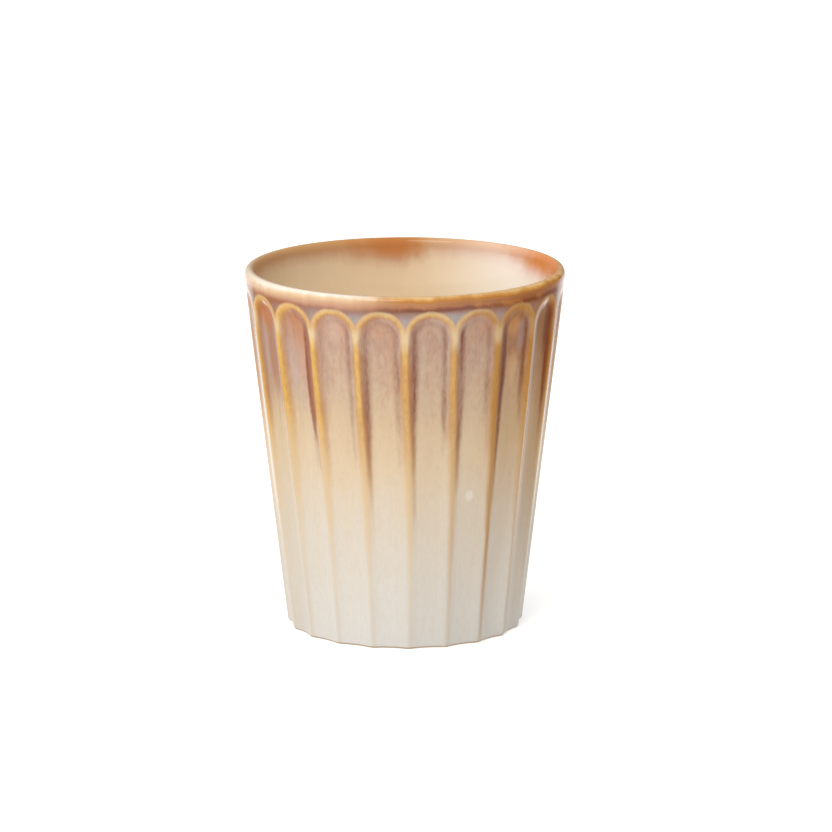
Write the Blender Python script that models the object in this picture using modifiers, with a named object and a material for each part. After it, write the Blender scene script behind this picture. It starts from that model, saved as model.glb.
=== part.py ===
"""A fluted stoneware latte cup without a handle: the fired clay body and the glazes fused on it.

Metres, +Z up. The origin is the centre of the foot, on the surface that the cup stands on.
A flute's ridge faces -Y, and the flutes repeat evenly round the Z axis.
"""

import math

import bmesh
import bpy
from mathutils import Matrix

# Driving dimensions of the finished cup, glaze included
HEIGHT = 0.0965
RIM_RADIUS = 0.0425
SHOULDER_HEIGHT = 0.0840
SHOULDER_RADIUS = 0.04145
FOOT_RADIUS = 0.0314
LIP_THICKNESS = 0.0029

# Inside of the cup
INNER_SHOULDER_RADIUS = 0.0370
INNER_LOW_HEIGHT = 0.0140
INNER_LOW_RADIUS = 0.0270
FLOOR_HEIGHT = 0.0070
FLOOR_FILLET = 0.0070

# Flutes
FLUTE_COUNT = 20
ARCH_SPRING_HEIGHT = 0.0857
RIDGE_WIDTH = 0.0008
FLUTE_SCOOP = 0.00075
CUTTER_RUNOUT = 0.0060

# Glaze coats, and the clearance kept between a coat and the clay
GLAZE = 0.0004
GAP = 0.0003
COAT_JOINT = 0.0003
LIP_BAND = 0.0024
DRY_FOOT = 0.0008

# Foot ring and the recess inside it
FOOT_EDGE = 0.0008
RECESS_RADIUS = 0.0246
RECESS_HEIGHT = 0.0020

# Facets
TURN_STEPS = 60
LIP_STEPS = 6
FILLET_STEPS = 5
EDGE_STEPS = 3
CUTTER_STEPS = 16
ARCH_STEPS = 4

# Points nearer than this are one point
WELD = 0.00001

# Worked out from the dimensions above
CLAY_INSET = GLAZE + GAP
LIP_ROUND = LIP_THICKNESS / 2
LIP_CENTRE = (RIM_RADIUS - LIP_ROUND, HEIGHT - LIP_ROUND)
LIP_BAND_HEIGHT = HEIGHT - LIP_BAND
HALF_PITCH = math.pi / FLUTE_COUNT
INNER_SLOPE = math.atan2(
    INNER_SHOULDER_RADIUS - INNER_LOW_RADIUS, SHOULDER_HEIGHT - INNER_LOW_HEIGHT
)


def between(start, end, share):
    """The value that lies this share of the way from start to end."""
    return start + (end - start) * share


def outside_radius(height):
    """Radius of the finished outside at a height, before the flutes are cut."""
    if height < SHOULDER_HEIGHT:
        return between(FOOT_RADIUS, SHOULDER_RADIUS, height / SHOULDER_HEIGHT)
    share = (height - SHOULDER_HEIGHT) / (LIP_CENTRE[1] - SHOULDER_HEIGHT)
    return between(SHOULDER_RADIUS, RIM_RADIUS, share)


def inside_radius(height):
    """Radius of the finished inside at a height above the floor's fillet."""
    if height < SHOULDER_HEIGHT:
        share = (height - INNER_LOW_HEIGHT) / (SHOULDER_HEIGHT - INNER_LOW_HEIGHT)
        return between(INNER_LOW_RADIUS, INNER_SHOULDER_RADIUS, share)
    share = (height - SHOULDER_HEIGHT) / (LIP_CENTRE[1] - SHOULDER_HEIGHT)
    return between(INNER_SHOULDER_RADIUS, RIM_RADIUS - LIP_THICKNESS, share)


def arc(centre, radius, start, end, steps):
    """Points of an arc in the profile plane, from one angle to another, in degrees."""
    angles = [math.radians(between(start, end, i / steps)) for i in range(steps + 1)]
    return [(centre[0] + radius * math.cos(a), centre[1] + radius * math.sin(a)) for a in angles]


def lip_arc(inset):
    """Half-round lip, from the inside over the top to the outside, set into the wall by inset."""
    return arc(LIP_CENTRE, LIP_ROUND - inset, 180, 0, LIP_STEPS)


def bowl_line(inset, top=None):
    """Inside of the bowl from the middle of the floor to the shoulder, set into the wall by inset.

    With a top, it goes on up to that height.
    """
    centre_height = FLOOR_HEIGHT + FLOOR_FILLET
    centre = (inside_radius(centre_height) - FLOOR_FILLET / math.cos(INNER_SLOPE), centre_height)
    fillet = arc(centre, FLOOR_FILLET + inset, -90, -math.degrees(INNER_SLOPE), FILLET_STEPS)
    shoulder = (INNER_SHOULDER_RADIUS + inset, SHOULDER_HEIGHT)
    line = [(0, FLOOR_HEIGHT - inset), *fillet, shoulder]
    return line if top is None else [*line, (inside_radius(top) + inset, top)]


def turned(name, profile, closed=False):
    """A solid of revolution about Z; its profile runs down the outer side."""
    count = len(profile)
    edges = [(i, i + 1) for i in range(count - 1)]
    if closed:
        edges.append((count - 1, 0))
    mesh = bpy.data.meshes.new(name)
    mesh.from_pydata([(radius, 0, height) for radius, height in profile], edges, [])
    obj = bpy.data.objects.new(name, mesh)
    screw = obj.modifiers.new("Turn", "SCREW")
    screw.steps = screw.render_steps = TURN_STEPS
    screw.use_merge_vertices = True
    screw.merge_threshold = WELD
    return obj


def cut(obj, cutter):
    """Takes the cutter's shape out of the object."""
    boolean = obj.modifiers.new("Cut " + cutter.name, "BOOLEAN")
    boolean.operation = "DIFFERENCE"
    boolean.object = cutter


def gouge_profile(foot_width, arch_width, length):
    """Half outline of one gouge: a round arch end, and a side that narrows towards the foot."""
    return [*arc((0, length), arch_width, 90, 0, ARCH_STEPS), (foot_width, 0), (0, 0)]


def flute_gouges(name, depth, widening):
    """One gouge for each flute, patterned round the cup.

    A gouge lies along the chord between two ridges. Its inner half is flattened to the depth of
    the scoop, and its outer half stays round, so that it clears the wall outside the chord.
    """
    arch_radius = outside_radius(ARCH_SPRING_HEIGHT) * math.cos(HALF_PITCH)
    foot_radius = FOOT_RADIUS * math.cos(HALF_PITCH)
    slope = math.atan2(arch_radius - foot_radius, ARCH_SPRING_HEIGHT)
    length = ARCH_SPRING_HEIGHT / math.cos(slope) + CUTTER_RUNOUT
    side = widening - RIDGE_WIDTH / 2
    arch_width = outside_radius(ARCH_SPRING_HEIGHT) * math.sin(HALF_PITCH) + side
    foot_width = FOOT_RADIUS * math.sin(HALF_PITCH) + side
    profile = gouge_profile(foot_width, arch_width, length)

    gouge = bmesh.new()
    points = [gouge.verts.new((radius, 0, height)) for radius, height in profile]
    edges = [gouge.edges.new(pair) for pair in zip(points, points[1:])]
    bmesh.ops.spin(
        gouge, geom=points + edges, cent=(0, 0, 0), axis=(0, 0, 1), angle=math.tau, steps=CUTTER_STEPS
    )
    bmesh.ops.remove_doubles(gouge, verts=gouge.verts, dist=WELD)
    bmesh.ops.recalc_face_normals(gouge, faces=gouge.faces)
    for vertex in gouge.verts:
        if vertex.co.y > 0:
            vertex.co.y *= depth / arch_width

    seat = Matrix.Translation((0, -foot_radius, 0)) @ Matrix.Rotation(slope, 4, "X")
    run_past_foot = Matrix.Translation((0, 0, -CUTTER_RUNOUT))
    between_ridges = Matrix.Rotation(HALF_PITCH, 4, "Z")
    bmesh.ops.transform(gouge, matrix=between_ridges @ seat @ run_past_foot, verts=gouge.verts)
    bmesh.ops.spin(
        gouge,
        geom=gouge.verts[:] + gouge.edges[:] + gouge.faces[:],
        cent=(0, 0, 0),
        axis=(0, 0, 1),
        angle=math.tau * (FLUTE_COUNT - 1) / FLUTE_COUNT,
        steps=FLUTE_COUNT - 1,
        use_duplicate=True,
    )
    mesh = bpy.data.meshes.new(name)
    gouge.to_mesh(mesh)
    gouge.free()
    return bpy.data.objects.new(name, mesh)


def stoneware_body(gouges):
    """The fired clay: fluted wall, floor, and a bare foot ring round a shallow recess."""
    clay_foot = FOOT_RADIUS - CLAY_INSET
    foot_edge = arc((clay_foot - FOOT_EDGE, FOOT_EDGE), FOOT_EDGE, 0, -90, EDGE_STEPS)
    ceiling = RECESS_HEIGHT + CLAY_INSET
    profile = [
        *bowl_line(CLAY_INSET),
        *lip_arc(CLAY_INSET),
        (SHOULDER_RADIUS - CLAY_INSET, SHOULDER_HEIGHT),
        *foot_edge,
        (RECESS_RADIUS, 0),
        (RECESS_RADIUS - FOOT_EDGE, ceiling),
        (0, ceiling),
    ]
    body = turned("stoneware_body", profile)
    cut(body, gouges)
    return body


def wall_core(inset, gouges):
    """A fluted plug of the wall's outside, set in by inset; it hollows the outer coat."""
    above, below = HEIGHT, -CUTTER_RUNOUT / 2
    profile = [
        (0, above),
        (outside_radius(above) - inset, above),
        (SHOULDER_RADIUS - inset, SHOULDER_HEIGHT),
        (outside_radius(below) - inset, below),
        (0, below),
    ]
    core = turned("wall_core", profile)
    cut(core, gouges)
    return core


def outer_glaze(gouges, core):
    """The coat on the fluted outside, from the dry foot up to the lip band."""
    top = LIP_BAND_HEIGHT - COAT_JOINT
    profile = [
        (0, top),
        (outside_radius(top), top),
        (SHOULDER_RADIUS, SHOULDER_HEIGHT),
        (outside_radius(DRY_FOOT), DRY_FOOT),
        (0, DRY_FOOT),
    ]
    coat = turned("outer_glaze", profile)
    cut(coat, gouges)
    cut(coat, core)
    return coat


def rim_glaze():
    """The amber band over the lip: a ring with the section of a turned-down U."""
    skin = [(inside_radius(LIP_BAND_HEIGHT), LIP_BAND_HEIGHT), *lip_arc(0)]
    skin.append((outside_radius(LIP_BAND_HEIGHT), LIP_BAND_HEIGHT))
    back = [(outside_radius(LIP_BAND_HEIGHT) - GLAZE, LIP_BAND_HEIGHT), *reversed(lip_arc(GLAZE))]
    back.append((inside_radius(LIP_BAND_HEIGHT) + GLAZE, LIP_BAND_HEIGHT))
    return turned("rim_glaze", [*skin, *back], closed=True)


def liner_glaze():
    """The poured coat inside the bowl, up to the lip band."""
    top = LIP_BAND_HEIGHT - COAT_JOINT
    return turned("liner_glaze", [*bowl_line(0, top), *reversed(bowl_line(GLAZE, top))])


def base_glaze():
    """The coat in the recess inside the foot ring."""
    radius = RECESS_RADIUS - FOOT_EDGE - GAP
    low, high = RECESS_HEIGHT, RECESS_HEIGHT + GLAZE
    return turned("base_glaze", [(0, high), (radius, high), (radius - GLAZE, low), (0, low)])


def finish(name, colour, roughness):
    """A material with this colour and roughness."""
    material = bpy.data.materials.new(name)
    material.use_nodes = True
    shader = material.node_tree.nodes["Principled BSDF"]
    shader.inputs["Base Color"].default_value = (*colour, 1)
    shader.inputs["Roughness"].default_value = roughness
    shader.inputs["Metallic"].default_value = 0
    return material


def collect(name, objects):
    """Puts the objects in a new collection of the scene."""
    collection = bpy.data.collections.new(name)
    bpy.context.scene.collection.children.link(collection)
    for obj in objects:
        collection.objects.link(obj)


def build():
    """Clears the scene and models the cup."""
    for obj in list(bpy.data.objects):
        bpy.data.objects.remove(obj)

    coat_gouges = flute_gouges("coat_gouges", FLUTE_SCOOP, 0)
    core_gouges = flute_gouges("core_gouges", FLUTE_SCOOP + GLAZE, GLAZE / 2)
    clay_gouges = flute_gouges("clay_gouges", FLUTE_SCOOP + CLAY_INSET, CLAY_INSET / 2)
    core = wall_core(GLAZE, core_gouges)
    cutters = [coat_gouges, core_gouges, clay_gouges, core]
    for cutter in cutters:
        cutter.hide_render = True
        cutter.display_type = "WIRE"

    finishes = {
        stoneware_body(clay_gouges): finish("bare_stoneware", (0.46, 0.33, 0.22), 0.85),
        outer_glaze(coat_gouges, core): finish("reactive_glaze", (0.71, 0.55, 0.40), 0.2),
        rim_glaze(): finish("amber_glaze", (0.60, 0.31, 0.09), 0.2),
        liner_glaze(): finish("cream_glaze", (0.74, 0.58, 0.40), 0.2),
        base_glaze(): finish("foot_glaze", (0.76, 0.68, 0.57), 0.25),
    }
    collect("latte_cup", finishes)
    collect("cutters", cutters)
    for obj, material in finishes.items():
        obj.data.materials.append(material)


build()
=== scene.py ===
"""Looks of a fluted stoneware latte cup: its glaze, its bare clay foot, and a plain studio.

Metres, +Z up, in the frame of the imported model. A ridge between two flutes faces -Y.
"""

import logging
import math
from collections.abc import Callable, Iterable
from dataclasses import dataclass
from enum import Enum

import bmesh
import bpy
from mathutils import Euler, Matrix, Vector, noise

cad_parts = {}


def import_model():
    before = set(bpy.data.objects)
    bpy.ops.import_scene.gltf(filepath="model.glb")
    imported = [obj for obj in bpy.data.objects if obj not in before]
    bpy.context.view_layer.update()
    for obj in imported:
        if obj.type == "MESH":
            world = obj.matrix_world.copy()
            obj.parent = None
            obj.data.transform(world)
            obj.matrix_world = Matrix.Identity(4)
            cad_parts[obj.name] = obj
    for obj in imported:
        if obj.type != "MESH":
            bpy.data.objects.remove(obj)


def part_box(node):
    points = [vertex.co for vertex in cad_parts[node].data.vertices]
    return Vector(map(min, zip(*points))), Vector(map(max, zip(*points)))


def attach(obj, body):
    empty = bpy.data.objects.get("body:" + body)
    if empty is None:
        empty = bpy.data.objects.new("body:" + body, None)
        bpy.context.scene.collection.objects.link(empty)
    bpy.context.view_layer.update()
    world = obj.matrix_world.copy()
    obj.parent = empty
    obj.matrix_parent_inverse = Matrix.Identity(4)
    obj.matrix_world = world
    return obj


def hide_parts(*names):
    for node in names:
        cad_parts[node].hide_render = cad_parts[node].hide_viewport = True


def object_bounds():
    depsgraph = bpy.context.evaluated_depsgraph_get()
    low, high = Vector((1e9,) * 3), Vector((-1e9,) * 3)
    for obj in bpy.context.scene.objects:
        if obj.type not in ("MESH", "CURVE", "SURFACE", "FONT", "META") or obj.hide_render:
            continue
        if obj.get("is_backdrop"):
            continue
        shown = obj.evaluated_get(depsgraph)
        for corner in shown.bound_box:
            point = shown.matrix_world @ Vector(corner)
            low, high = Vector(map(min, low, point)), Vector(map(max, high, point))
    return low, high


LOG = logging.getLogger("latte_cup")
MM = 0.001
# How near two points count as touching, and two heights as level.
TOUCHING = MM / 1000
LEVEL = 0.02 * MM
PHOTO_SIDE_PX = 832
Point = tuple[float, float]


def arc(middle: Point, reach: float, turns: Iterable[float]) -> list[Point]:
    """Radius and height of each point of an arc, at these degrees from outwards to upwards."""
    radians = [math.radians(turn) for turn in turns]
    return [(middle[0] + reach * math.cos(turn), middle[1] + reach * math.sin(turn)) for turn in radians]


class Domain(Enum):
    """What a selection in edit mode is made of."""

    VERT = "verts"
    EDGE = "edges"
    FACE = "faces"


class Bench:
    """Edit-mode tools for the mesh in hand."""

    @staticmethod
    def clear() -> None:
        """Leaves nothing selected, in object mode."""
        if bpy.context.object and bpy.context.object.mode != "OBJECT":
            bpy.ops.object.mode_set(mode="OBJECT")
        bpy.ops.object.select_all(action="DESELECT")

    @staticmethod
    def edit(piece: bpy.types.Object | None = None) -> None:
        """Opens a mesh for editing.

        Args:
            piece: the mesh to take in hand, or None for the one in hand.
        """
        if piece is not None:
            Bench.clear()
            bpy.context.view_layer.objects.active = piece
            piece.select_set(True)
        bpy.ops.object.mode_set(mode="EDIT")

    @staticmethod
    def close(name: str) -> bpy.types.Object:
        """Ends editing and names the piece.

        Args:
            name: the piece's name.

        Returns:
            The piece.
        """
        bpy.ops.object.mode_set(mode="OBJECT")
        piece = bpy.context.object
        piece.name = name
        piece.data.name = name
        return piece

    @staticmethod
    def complete(name: str, crease: float, levels: int = 0) -> bpy.types.Object:
        """Turns a closed mesh's faces outwards, ends editing and shades the piece smooth.

        Args:
            name: the piece's name.
            crease: the angle in degrees above which an edge stays sharp.
            levels: how many times the piece is subdivided first.

        Returns:
            The piece.
        """
        Bench.pick_all()
        bpy.ops.mesh.normals_make_consistent(inside=False)
        piece = Bench.close(name)
        if levels:
            Bench.subdivide(piece, levels)
        bpy.ops.object.shade_smooth_by_angle(angle=math.radians(crease))
        return piece

    @staticmethod
    def mesh() -> bmesh.types.BMesh:
        """The mesh that is open for editing."""
        return bmesh.from_edit_mesh(bpy.context.object.data)

    @staticmethod
    def reshape(move: Callable[[Vector], Vector]) -> None:
        """Moves every point of the mesh in hand.

        Args:
            move: says where a point goes.
        """
        bpy.ops.object.mode_set(mode="OBJECT")
        for vertex in bpy.context.object.data.vertices:
            vertex.co = move(vertex.co)
        bpy.ops.object.mode_set(mode="EDIT")

    @staticmethod
    def pick_all() -> None:
        """Selects the whole mesh."""
        bpy.ops.mesh.select_all(action="SELECT")

    @staticmethod
    def pick(domain: Domain, test: Callable[..., bool]) -> None:
        """Selects the vertices, edges or faces that pass a test, and nothing else.

        Args:
            domain: what to select.
            test: says whether an element is wanted.
        """
        bpy.ops.mesh.select_mode(type=domain.name)
        bpy.ops.mesh.select_all(action="DESELECT")
        mesh = Bench.mesh()
        for element in getattr(mesh, domain.value):
            if test(element):
                element.select_set(True)
        mesh.select_flush_mode()
        bmesh.update_edit_mesh(bpy.context.object.data)

    @staticmethod
    def pick_open(test: Callable[[Vector], bool]) -> None:
        """Selects the open edges with both ends in places that pass a test."""
        Bench.pick(Domain.EDGE, lambda edge: edge.is_boundary and all(test(v.co) for v in edge.verts))

    @staticmethod
    def pick_rim(height: float) -> None:
        """Selects the open edges that lie at a height."""
        Bench.pick_open(lambda place: abs(place.z - height) < LEVEL)

    @staticmethod
    def rim_heights() -> list[float]:
        """Heights of the open edges from the lowest up, to a hundredth of a millimetre."""
        return sorted({round(v.co.z, 5) for v in Bench.mesh().verts if v.is_boundary})

    @staticmethod
    def part_from(piece: bpy.types.Object) -> bpy.types.Object:
        """Parts the selection from a piece, and leaves edit mode.

        Args:
            piece: the piece in hand.

        Returns:
            The selection, as an object of its own.
        """
        bpy.ops.mesh.separate(type="SELECTED")
        bpy.ops.object.mode_set(mode="OBJECT")
        return next(other for other in bpy.context.selected_objects if other is not piece)

    @staticmethod
    def weld(reach: float = TOUCHING) -> None:
        """Merges the points that lie within reach of each other."""
        Bench.pick_all()
        bpy.ops.mesh.remove_doubles(threshold=reach)

    @staticmethod
    def circle(sides: int, ring: Point) -> None:
        """Adds a level ring of this radius and height round the axis."""
        bpy.ops.mesh.primitive_circle_add(vertices=sides, radius=ring[0], location=(0, 0, ring[1]))

    @staticmethod
    def extrude(rise: float = 0.0) -> None:
        """Extrudes the selection straight up, or in place."""
        bpy.ops.mesh.extrude_region_move(TRANSFORM_OT_translate={"value": (0, 0, rise)})

    @staticmethod
    def plug() -> None:
        """Closes the selected ring in its middle."""
        Bench.extrude()
        bpy.ops.mesh.merge(type="CENTER")

    @staticmethod
    def cap(start: Point, stations: list[Point]) -> None:
        """Draws the selected ring through a turned profile, and closes it in the middle."""
        Bench.rings(start, stations)
        Bench.plug()

    @staticmethod
    def cut(axis: str, place: float, drop_below: bool = False) -> None:
        """Cuts the selection with a plane square to an axis.

        Args:
            axis: X or Z.
            place: where the plane crosses the axis.
            drop_below: whether what lies below the plane goes.
        """
        normal = (1, 0, 0) if axis == "X" else (0, 0, 1)
        bpy.ops.mesh.bisect(
            plane_co=Vector(normal) * place, plane_no=normal, clear_inner=drop_below, threshold=TOUCHING
        )

    @staticmethod
    def rings(start: Point, stations: list[Point]) -> None:
        """Draws the selected ring through a turned profile, station by station.

        Args:
            start: radius and height of the selected ring.
            stations: radius and height of each ring to make.
        """
        radius, height = start
        for next_radius, next_height in stations:
            Bench.extrude(next_height - height)
            share = next_radius / radius
            bpy.ops.transform.resize(value=(share, share, 1), center_override=(0, 0, next_height))
            radius, height = next_radius, next_height

    @staticmethod
    def subdivide(piece: bpy.types.Object, levels: int) -> None:
        """Smooths a cage with an applied subdivision surface.

        Args:
            piece: the cage.
            levels: how many times it is subdivided.
        """
        smooth = piece.modifiers.new("Smooth", "SUBSURF")
        smooth.levels = smooth.render_levels = levels
        bpy.ops.object.modifier_apply(modifier=smooth.name)


@dataclass(frozen=True)
class CupForm:
    """The cup's driving sizes and the curves that follow from them."""

    height: float
    rim_radius: float
    glaze_low: float
    lip_seam: float
    dry_share: float = 0.6
    shoulder_height: float = 84.0 * MM
    shoulder_radius: float = 41.45 * MM
    foot_radius: float = 31.4 * MM
    lip_thickness: float = 2.9 * MM
    inner_shoulder_radius: float = 37.0 * MM
    inner_low_height: float = 14.0 * MM
    inner_low_radius: float = 27.0 * MM
    floor_height: float = 7.0 * MM
    floor_fillet: float = 7.0 * MM
    flute_count: int = 20
    arch_spring: float = 85.7 * MM
    band_height: float = 93.4 * MM

    @property
    def dry_foot(self) -> float:
        """Height at which the glaze ends, a little lower than its solid does."""
        return self.glaze_low * self.dry_share

    @property
    def lip_centre(self) -> Point:
        """Radius and height of the middle of the round lip."""
        return self.rim_radius - self.lip_thickness / 2, self.height - self.lip_thickness / 2

    @property
    def half_angle(self) -> float:
        """Angle from a ridge to the middle of a flute."""
        return math.pi / self.flute_count

    @property
    def half_pitch(self) -> float:
        """Distance from a ridge to the middle of a flute, where the arches spring."""
        return self.outside(self.arch_spring) * self.half_angle

    def outside(self, height: float) -> float:
        """Radius of the outside at a height, over the ridges.

        Args:
            height: height above the table.

        Returns:
            The radius.
        """
        if height < self.shoulder_height:
            share = height / self.shoulder_height
            return self.foot_radius + (self.shoulder_radius - self.foot_radius) * share
        share = (height - self.shoulder_height) / (self.lip_centre[1] - self.shoulder_height)
        return self.shoulder_radius + (self.rim_radius - self.shoulder_radius) * share

    def inside(self, height: float) -> float:
        """Radius of the bowl at a height above its floor's round corner.

        Args:
            height: height above the table.

        Returns:
            The radius.
        """
        if height < self.shoulder_height:
            share = (height - self.inner_low_height) / (self.shoulder_height - self.inner_low_height)
            return self.inner_low_radius + (self.inner_shoulder_radius - self.inner_low_radius) * share
        share = (height - self.shoulder_height) / (self.lip_centre[1] - self.shoulder_height)
        lip_radius = self.rim_radius - self.lip_thickness
        return self.inner_shoulder_radius + (lip_radius - self.inner_shoulder_radius) * share


@dataclass(frozen=True)
class FluteStep:
    """One step of a flute's section, from the ridge to the middle: how far across, and how far in."""

    run: float
    drop: float


class Zone(Enum):
    """A coat of glaze, by the surface that it covers."""

    OUTSIDE = "fluted_glaze"
    LIP = "lip_glaze"
    BOWL = "bowl_glaze"


@dataclass
class GlazeCoat:
    """The glaze that shows: the fluted outside, the lip and the bowl, each on a plain hidden back."""

    form: CupForm
    arch_edges: int = 8
    section: tuple[FluteStep, ...] = (
        FluteStep(0.45 * MM, 0.00 * MM),
        FluteStep(0.45 * MM, 0.16 * MM),
        FluteStep(0.95 * MM, 0.42 * MM),
        FluteStep(0.75 * MM, 0.32 * MM),
        FluteStep(0.90 * MM, 0.10 * MM),
    )
    dish: float = 0.20 * MM
    lean: float = math.radians(1.6)
    row_heights: tuple[float, ...] = (9 * MM, 22 * MM, 38 * MM, 54 * MM, 70 * MM)
    smoothing: int = 2
    back_sides: int = 60
    back_inset: float = 2.0 * MM
    coat: float = 0.4 * MM
    lip_step: int = 45
    waver: float = 0.0035
    waver_grain: float = 24 * MM
    waver_end: float = 8 * MM
    weld_reach: float = MM / 100
    floor_cuts: tuple[int, ...] = (45, 90, 135)
    bowl_heights: tuple[float, ...] = (92.8 * MM, 89 * MM, 84 * MM, 70 * MM, 50 * MM, 32 * MM, 20 * MM)
    corner_turns: tuple[int, ...] = (-5, -30, -60, -90)
    floor_radii: tuple[float, ...] = (12 * MM, 4 * MM)
    edge_margin: float = 0.1 * MM
    crease: float = 60

    def _flat_flute(self) -> None:
        """Models one flute as if the wall lay flat: X across, Y into the wall, Z up."""
        form = self.form
        start = form.half_pitch - self.section[0].run
        bpy.ops.mesh.primitive_circle_add(
            vertices=2 * self.arch_edges, radius=start, fill_type="NGON",
            location=(0, 0, form.arch_spring), rotation=(math.pi / 2, 0, 0),
        )
        bpy.ops.object.transform_apply()
        Bench.edit()
        Bench.pick_all()
        Bench.cut("Z", form.arch_spring, drop_below=True)
        Bench.pick_rim(form.arch_spring)
        Bench.extrude(-form.arch_spring - 2 * form.half_pitch)
        bpy.ops.mesh.select_mode(type="FACE")
        Bench.pick_all()
        for step in self.section[1:]:
            bpy.ops.mesh.inset(thickness=step.run, depth=0, use_even_offset=True)
            bpy.ops.transform.translate(value=(0, step.drop, 0))
        self._part_floor()

    def _part_floor(self) -> None:
        """Parts the flute's floor lengthwise through the arch's points."""
        depth = sum(step.drop for step in self.section)
        half_floor = self.form.half_pitch - sum(step.run for step in self.section)
        for turn in self.floor_cuts:
            Bench.pick(Domain.FACE, lambda face: all(abs(v.co.y - depth) < TOUCHING for v in face.verts))
            Bench.cut("X", half_floor * math.cos(math.radians(turn)))

    def _frame_flute(self) -> None:
        """Widens the flute to its ridges, and fills the corners beside the arch up to the band."""
        form = self.form
        share = form.half_pitch / (form.half_pitch - self.section[0].run)
        Bench.pick(Domain.EDGE, lambda edge: edge.is_boundary and any(v.co.z > 0 for v in edge.verts))
        Bench.extrude()
        bpy.ops.transform.resize(value=(share, 1, share), center_override=(0, 0, form.arch_spring))
        Bench.pick_open(lambda place: place.z > form.arch_spring - TOUCHING)
        Bench.extrude()
        corners = [v.index for v in Bench.mesh().verts if v.select]
        for index in corners:
            self._square_off(index)
        Bench.weld()

    def _square_off(self, index: int) -> None:
        """Slides one point over the arch out to the straight frame of the flute.

        Args:
            index: the point's index.
        """
        form = self.form
        mesh = Bench.mesh()
        mesh.verts.ensure_lookup_table()
        place = mesh.verts[index].co.copy()
        to_corner = math.atan2(place.z - form.arch_spring, abs(place.x)) / (math.pi / 4)
        across = form.half_pitch * min(1, 2 - to_corner)
        up = (form.band_height - form.arch_spring) * min(1, to_corner)
        target = Vector((math.copysign(across, place.x), place.y, form.arch_spring + up))
        Bench.pick(Domain.VERT, lambda vertex: vertex.index == index)
        bpy.ops.transform.translate(value=target - place)

    def _wrap(self, flat: Vector) -> Vector:
        """Where a point of the flat flute lies on the cup.

        The ridges keep their width as the wall narrows, the floor is dished, and the flute leans.

        Args:
            flat: the point, across, in and up.

        Returns:
            The point on the cup's wall.
        """
        form = self.form
        half = form.half_pitch
        wall = form.outside(flat.z)
        taper = form.outside(form.arch_spring) / wall
        side_run = sum(step.run for step in self.section)
        across = abs(flat.x)
        drop = flat.y
        below = max(0.0, 1 - flat.z / form.arch_spring)
        if below > 0 and across > half - side_run:
            across = half - (half - across) * taper
        elif below > 0:
            from_middle = across / (half - side_run)
            across = from_middle * (half - side_run * taper)
            drop += self.dish * (1 - from_middle ** 2)
        turn = form.half_angle * (math.copysign(across, flat.x) / half + 1) + self.lean * below
        radius = wall - drop / max(taper, 1)
        return Vector((radius * math.sin(turn), -radius * math.cos(turn), flat.z))

    def _turned(self, point: Vector) -> Vector:
        """Where a point of the wall goes as a hand-held gouge wavers.

        Args:
            point: a point of the even wall.

        Returns:
            The point, turned a hair about the axis.
        """
        share = min(1.0, (self.form.band_height - point.z) / self.waver_end)
        turn = self.waver * share * noise.noise(point / self.waver_grain)
        moved = point.copy()
        moved.rotate(Euler((0, 0, turn)))
        return moved

    def _wall(self) -> None:
        """Wraps the flat flute onto the cup and repeats it all round."""
        form = self.form
        for height in self.row_heights:
            Bench.pick_all()
            Bench.cut("Z", height)
        Bench.pick_all()
        Bench.cut("Z", form.dry_foot, drop_below=True)
        Bench.reshape(self._wrap)
        Bench.pick_all()
        copies = form.flute_count - 1
        angle = math.tau * copies / form.flute_count
        bpy.ops.mesh.spin(steps=copies, dupli=True, angle=angle, center=(0, 0, 0), axis=(0, 0, 1))
        Bench.weld(self.weld_reach)
        Bench.reshape(self._turned)

    def _lip_stations(self) -> list[Point]:
        """Rings of the round lip, from outside over the top to the inside.

        Returns:
            Radius and height of each ring, on a cage that the smoothing draws in to the lip.
        """
        form = self.form
        drawn_in = (2 + math.cos(math.radians(self.lip_step))) / 3
        half_round = range(0, 180 + self.lip_step, self.lip_step)
        return arc(form.lip_centre, form.lip_thickness / 2 / drawn_in, half_round)

    def bowl_stations(self, inset: float, top: float) -> list[Point]:
        """Rings of the bowl from near its top down to the middle of its floor.

        Args:
            inset: how far the rings lie inside the wall.
            top: the height that the rings stay below.

        Returns:
            Radius and height of each ring.
        """
        form = self.form
        fillet = form.floor_fillet
        wall = [(form.inside(height) + inset, height) for height in self.bowl_heights if height < top]
        centre_height = form.floor_height + fillet
        centre = (form.inside(centre_height) - fillet, centre_height)
        corner = arc(centre, fillet + inset, self.corner_turns)
        floor = [(radius, form.floor_height - inset) for radius in self.floor_radii]
        return [*wall, *corner, *floor]

    def _lip_and_bowl(self) -> None:
        """Draws the wall's top edge over the lip and down into the bowl."""
        form = self.form
        seam = form.lip_seam
        Bench.pick_rim(form.band_height)
        Bench.cap(
            (form.outside(form.band_height), form.band_height),
            [
                (form.outside(seam), seam), *self._lip_stations(), (form.inside(seam), seam),
                *self.bowl_stations(0, seam),
            ],
        )

    def _zone_of(self, face: bmesh.types.BMFace) -> Zone:
        """The coat that a face of the skin belongs to.

        Args:
            face: a face of the whole skin.

        Returns:
            The coat.
        """
        form = self.form
        middle = face.calc_center_median()
        if middle.z > form.lip_seam:
            return Zone.LIP
        half_way = (form.inside(middle.z) + form.outside(middle.z)) / 2
        return Zone.OUTSIDE if middle.to_2d().length > half_way else Zone.BOWL

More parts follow.
